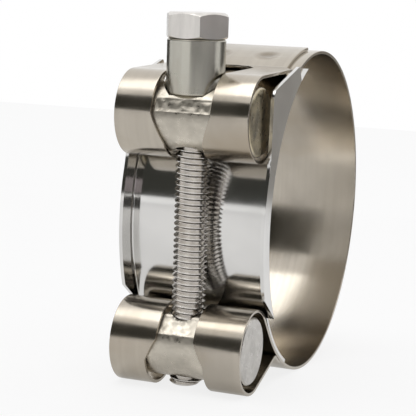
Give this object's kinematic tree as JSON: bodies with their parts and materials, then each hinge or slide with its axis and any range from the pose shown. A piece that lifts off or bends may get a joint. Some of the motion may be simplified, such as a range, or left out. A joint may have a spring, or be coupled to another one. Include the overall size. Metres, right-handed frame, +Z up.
{
  "type": "exhaust pipe clamp",
  "caption": "Stainless band clamp that one bolt draws tight round an exhaust pipe through two cross barrels held in folded, slotted loops.",
  "frame": {"origin": "centre of the pipe bore, in the middle of the band's width", "axes": "+X along the pipe, +Z up, -Y towards the bolt"},
  "size_m": [0.0272, 0.0719, 0.0653],
  "materials": {
    "band_steel": "bright rolled stainless strip with fine lines along the band and rounded edges",
    "bridge_steel": "mirror-bright stainless sheet, duller at the sheared and bent edges",
    "barrel_steel": "turned stainless bar with a rough hammered flat and sawn ends",
    "sleeve_steel": "smooth drawn stainless tube with fine turning lines",
    "bolt_steel": "stainless bolt with a smooth head and a bright rolled thread"
  },
  "bodies": {
    "clamp_band": {"band": "band_steel", "bridge": "bridge_steel"},
    "upper_barrel_body": {"upper_barrel": "barrel_steel"},
    "lower_barrel_body": {"lower_barrel": "barrel_steel"},
    "bolt_body": {"bolt": "bolt_steel"},
    "sleeve_body": {"spacer_sleeve": "sleeve_steel"}
  },
  "joints": [
    {"name": "upper_barrel_pivot", "type": "hinge", "parent": "clamp_band", "child": "upper_barrel_body", "pos_m": [0, -0.03505, 0.01661], "axis": [-1, 0, 0], "range_deg": [0, 6.6]},
    {"name": "bolt_turn", "type": "hinge", "parent": "upper_barrel_body", "child": "bolt_body", "pos_m": [0, -0.03505, 0.01661], "axis": [0, 0.0909, -0.9959], "range_deg": [0, 3240]},
    {"name": "sleeve_turn", "type": "hinge", "parent": "upper_barrel_body", "child": "sleeve_body", "pos_m": [0, -0.03505, 0.01661], "axis": [0, 0.0909, -0.9959], "continuous": true},
    {"name": "lower_barrel_travel", "type": "hinge", "parent": "clamp_band", "child": "lower_barrel_body", "pos_m": [0, 0.04326, 0.02], "axis": [-1, 0, 0], "range_deg": [0, 6.6], "deforming": ["band"]}
  ],
  "couplings": [
    {"joint": "upper_barrel_pivot", "follows": "bolt_turn", "ratio": 0.002037},
    {"joint": "lower_barrel_travel", "follows": "bolt_turn", "ratio": 0.002037}
  ]
}
